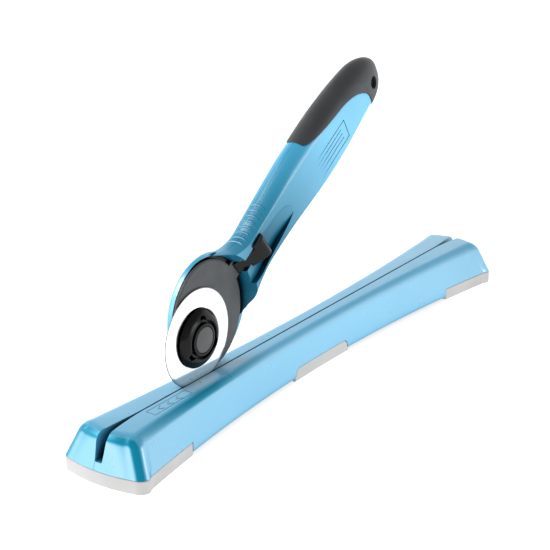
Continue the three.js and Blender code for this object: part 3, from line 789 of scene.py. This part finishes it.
def make_handle():
    """Two half shells with thumb ribs, the grip's seat, the guard's slot and mouth, and the recess."""
    body = handle_loft("body", 22, HANDLE_END, 0)
    for i in range(8):
        join(body, thumb_rib(43.5 + i * 2.9))
    ring = cut(grip_space(0), handle_loft("core", 60, HANDLE_END - 3, 2.2))
    cut(body, ring)
    cut(body, disc((HANG_P, HANG_Q), HANG_HOLE_R, -20, 20, 48))
    shade_sheet = head_shade_sheet(body)
    cut(body, strip(-30, ARM_SLOT_END, ARM_SLOT_HALF, GUARD_LOW - GAP, GUARD_HIGH + GAP))
    cut(body, lathe("mouth", [(0, -20), (MOUTH_FRONT, -20), (MOUTH_FRONT, -5.5), (MOUTH_BACK, 1.5),
                              (MOUTH_BACK, HEAD_LOW), (0, HEAD_LOW)], 160, on_slide(GUARD_TRAVEL)))
    near = common(copy(body, "near"), block("half", -60, 200, -30, -SEAM, -60, 60))
    cut(near, recess())
    cut(near, cheek_mark())
    far = common(body, block("half", -60, 200, SEAM, 30, -60, 60))
    join(far, nose_plate())
    cut(far, strip(-30, ARM_SLOT_END, ARM_SLOT_HALF, -1, GUARD_HIGH + GAP))
    join(far, disc((0, 0), 5.2, 0.25, HEAD_LOW + 1, 64))
    cut(far, disc((0, 0), 3.95, -20, 20, 64))
    cut(far, disc((0, 0), 6.6, 4.6, 20, 64))
    # black sheet standing in for the shadow in the gap between the guard and the mouth
    place(smooth(shade_sheet), "head_shade_sheet", "cutter", GLOSS, ["handle_shell_left"], True)
    place(smooth(near), "handle_right_skin", "cutter", BLUE, ["handle_shell_right"], True)
    place(smooth(far), "handle_left_skin", "cutter", BLUE, ["handle_shell_left"], True)


def make_grip():
    """Rubber sleeve round the end of the handle."""
    grip = handle_loft("grip", 60, HANDLE_END + 0.35, -0.35)
    common(grip, grip_space(GAP * 0.5))
    cut(grip, handle_loft("core", 50, HANDLE_END - 2.7, 1.9))
    cut(grip, disc((HANG_P, HANG_Q), GRIP_HOLE_R, -20, 20, 48))
    place(smooth(grip, 40, 0.35, 3), "rubber_grip_skin", "cutter", GRIP, ["rubber_grip"], True)


def make_guard():
    """Guard disc with a stepped rim, its slot for the axle and its arm."""
    centre = on_slide(GUARD_TRAVEL)
    turn = Matrix.Rotation(math.radians(-GUARD_TURN), 4, "Y")
    rings = []
    for inset, y in ((0.55, GUARD_LOW), (0.42, GUARD_LOW + 0.16), (0.1, GUARD_LOW + 0.16),
                     (0, GUARD_LOW + 0.3), (0, GUARD_HIGH - 0.2), (0.2, GUARD_HIGH)):
        rings.append([((GUARD_LONG - inset) * math.cos(a), y, (GUARD_SHORT - inset) * math.sin(a))
                      for a in [i / 180 * math.tau for i in range(180)]])
    guard = loft("guard", rings)
    guard.data.transform(Matrix.Translation((centre[0] * 0.001, 0, centre[1] * 0.001)) @ turn)
    join(guard, strip(20, 54.4, ARM_HALF, GUARD_LOW + 0.05, GUARD_HIGH - 0.05))
    cut(guard, strip(0, GUARD_TRAVEL, AXLE_SLOT_R, -5, 5))
    cut(guard, disc((0, 0), AXLE_SLOT_R, -5, 5, 64))
    cut(guard, disc(centre, AXLE_SLOT_R, -5, 5, 64))
    place(smooth(guard, 25), "guard_disc", "guard", GUARD, ["blade_guard"], True)


def slide_ring(profile, offset):
    return [(on_slide(d, offset)[0], y, on_slide(d, offset)[1]) for d, y in profile]


def make_slider():
    """Thumb wedge that rises towards the rear and reaches over the near cheek, on its foot."""
    side = [(43, -3.5), (44.6, -4.7), (47.4, -6.7), (49.6, -8.1), (50.4, -8.55), (51.1, -8.7), (51.9, -8.6),
            (52.8, -8.1), (53.6, -7.2), (54.2, -5.8), (54.4, -3.5)]
    cap = loft("cap", [slide_ring(side, o) for o in (-5.6, 5.6)])
    common(cap, block("top", -60, 200, -20, CHEEK, -60, 60))
    join(cap, loft("base", [slide_ring(side, o) for o in (-5.6, 3.1)]))
    slope = [(37, GUARD_LOW - 0.1), (37, -0.2), (44.4, -4.6), (54.4, -4.6), (54.4, GUARD_LOW - 0.1)]
    join(cap, loft("neck", [slide_ring(slope, o) for o in (-3.6, 3.1)]))
    place(smooth(cap, 28, 0.45, 4), "slider_wedge", "guard", GLOSS, ["thumb_slider"], True)


def make_blade():
    t, ground = 0.15, BLADE_R - 1.3
    profile = [(BORE_R, -t), (ground, -t), (BLADE_R, -0.02), (BLADE_R, 0.02), (ground, t), (BORE_R, t),
               (BORE_R, -t)]
    blade = lathe("blade", profile, 256)
    place(smooth(blade, 3), "round_blade", "blade", BLADE, ["blade"], True)


def make_nut():
    """Domed knob with a channel around its cap and three windows."""
    r = NUT_R
    profile = [(3, -0.75), (r - 0.2, -0.75), (r, -0.95), (r - 0.1, -1.2), (r - 0.3, -1.48), (r - 0.5, -1.75),
               (r - 0.84, -2.08), (r - 1.2, -2.4), (r - 1.64, -2.77), (r - 2.1, -3.1), (r - 2.6, -3.4),
               (r - 3.1, -3.65), (10, -3.83), (9.6, -3.93), (9.3, -3.95), (9, -3.9), (8.85, -3.75),
               (8.8, -3.5), (8.7, -2), (7.5, -2), (7.4, -3.85), (7.3, -4.03), (7.1, -4.1), (6.3, -4.1),
               (6.15, -4.0), (6.1, -3.5), (3, -3.5), (3, -0.75)]
    nut = lathe("nut", profile, 144)
    for turn in (62, 182, 302):
        c, s = math.cos(math.radians(turn)), math.sin(math.radians(turn))
        shape = [(8.4, -2.4), (11.2, -1.3), (11.2, 1.3), (8.4, 2.4)]
        cut(nut, across("window", [(x * c - z * s, x * s + z * c) for x, z in shape], -10, 5))
    place(smooth(nut, 30), "hub_knob", "nut", KNOB, ["hub_nut"], True)
    edge = [(5.3, -4.3), (5.6, -4.24), (5.82, -4.1), (5.9, -3.9), (5.9, -3.7)]
    cap = lathe("cap", [(0, -4.3)] + edge + [(0, -3.7)], 96)
    place(smooth(cap, 25), "knob_cap", "nut", CAP, ["nut_cap"], True)


def paint_kept_nodes():
    """The nodes that keep their own mesh: what is hidden in the bar, the bolt, washer and screws."""
    looks = {"closing_plate": HIDDEN, "shuttle_carrier": HIDDEN,
             "hone_stone_left": STONE, "hone_stone_right": STONE,
             "stone_spring_left": STEEL, "stone_spring_right": STEEL,
             "axle_bolt": STEEL, "spring_washer": STEEL}
    looks.update({f"plate_screw_{i}": STEEL for i in range(1, 5)})
    for node, mat in looks.items():
        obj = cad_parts[node]
        obj.data.materials.clear()
        obj.data.materials.append(mat)


make_feet()
make_half_shells()
make_handle()
make_grip()
make_guard()
make_slider()
make_blade()
make_nut()
paint_kept_nodes()


# ---------------------------------------------------------------- stage
def make_floor():
    """Pale luminous table top."""
    size = 6000
    corners = [(-size, -size, 0), (size, -size, 0), (size, size, 0), (-size, size, 0)]
    floor = mesh("studio_floor", corners, [[0, 1, 2, 3]])
    n = Nodes("studio_floor")
    tone = n.mix(n.span(n.noise(0.8, 2), 0, 1, 0.3, 0.7), (0.80, 0.80, 0.80), (0.815, 0.815, 0.815))
    floor.data.materials.append(n.set(Base_Color=tone, Roughness=0.9, Specular_IOR_Level=0.0,
                                      Emission_Color=(1.0, 1.0, 1.0), Emission_Strength=0.72))


def area_light(name, spot, aim, size, watts):
    data = bpy.data.lights.new(name, "AREA")
    data.shape = "DISK"
    data.size = size
    data.energy = watts
    light = bpy.data.objects.new(name, data)
    light.location = spot
    light.rotation_euler = (Vector(aim) - Vector(spot)).to_track_quat("-Z", "Y").to_euler()
    bpy.context.scene.collection.objects.link(light)


def make_world():
    """Studio with a bright band low down on the far side, darker above and behind the camera."""
    world = bpy.data.worlds.new("studio")
    world.use_nodes = True
    bpy.context.scene.world = world
    tree = world.node_tree
    where = tree.nodes.new("ShaderNodeTexCoord").outputs["Generated"]
    split = tree.nodes.new("ShaderNodeSeparateXYZ")
    tree.links.new(where, split.inputs["Vector"])
    toward = tree.nodes.new("ShaderNodeVectorMath")
    toward.operation = "DOT_PRODUCT"
    toward.inputs[1].default_value = (0.82, 0.57, 0)
    tree.links.new(where, toward.inputs[0])

    def ease(value, start, end, low, high):
        node = tree.nodes.new("ShaderNodeMapRange")
        node.interpolation_type = "SMOOTHSTEP"
        for key, number in (("From Min", start), ("From Max", end), ("To Min", low), ("To Max", high)):
            node.inputs[key].default_value = number
        tree.links.new(value, node.inputs["Value"])
        return node.outputs["Result"]

    both = tree.nodes.new("ShaderNodeMath")
    both.operation = "MULTIPLY_ADD"
    tree.links.new(ease(split.outputs["Z"], 0.34, 0.58, 1.0, 0.0), both.inputs[0])
    tree.links.new(ease(toward.outputs["Value"], -0.55, 0.25, 0.15, 1.0), both.inputs[1])
    both.inputs[2].default_value = 0.32
    tree.links.new(both.outputs["Value"], tree.nodes["Background"].inputs["Strength"])
    tree.nodes["Background"].inputs["Color"].default_value = (1, 1, 1, 1)


def make_camera():
    """Camera at the left front, looking along the bar and a little down."""
    azimuth, elevation, distance = math.radians(-55.0), math.radians(20.64), 0.70885
    target = Vector((-0.02656, 0, 0.05299))
    back = Vector((math.sin(azimuth) * math.cos(elevation), -math.cos(azimuth) * math.cos(elevation),
                   math.sin(elevation)))
    data = bpy.data.cameras.new("camera")
    data.sensor_width = 36
    data.lens = 100.74
    data.clip_end = 50
    camera = bpy.data.objects.new("camera", data)
    camera.location = target + back * distance
    camera.rotation_euler = (-back).to_track_quat("-Z", "Y").to_euler()
    bpy.context.scene.collection.objects.link(camera)
    bpy.context.scene.camera = camera


make_floor()
make_world()
make_camera()
area_light("key", (-0.55, 0.75, 0.85), (-0.02, 0, 0.05), 0.7, 7)
area_light("end", (-1.15, 0.45, 0.25), (-0.10, 0, 0.03), 1.0, 5)
area_light("side", (0.30, -1.25, 0.12), (0, 0, 0.03), 0.7, 5.6)
bpy.context.scene.view_settings.view_transform = "Standard"
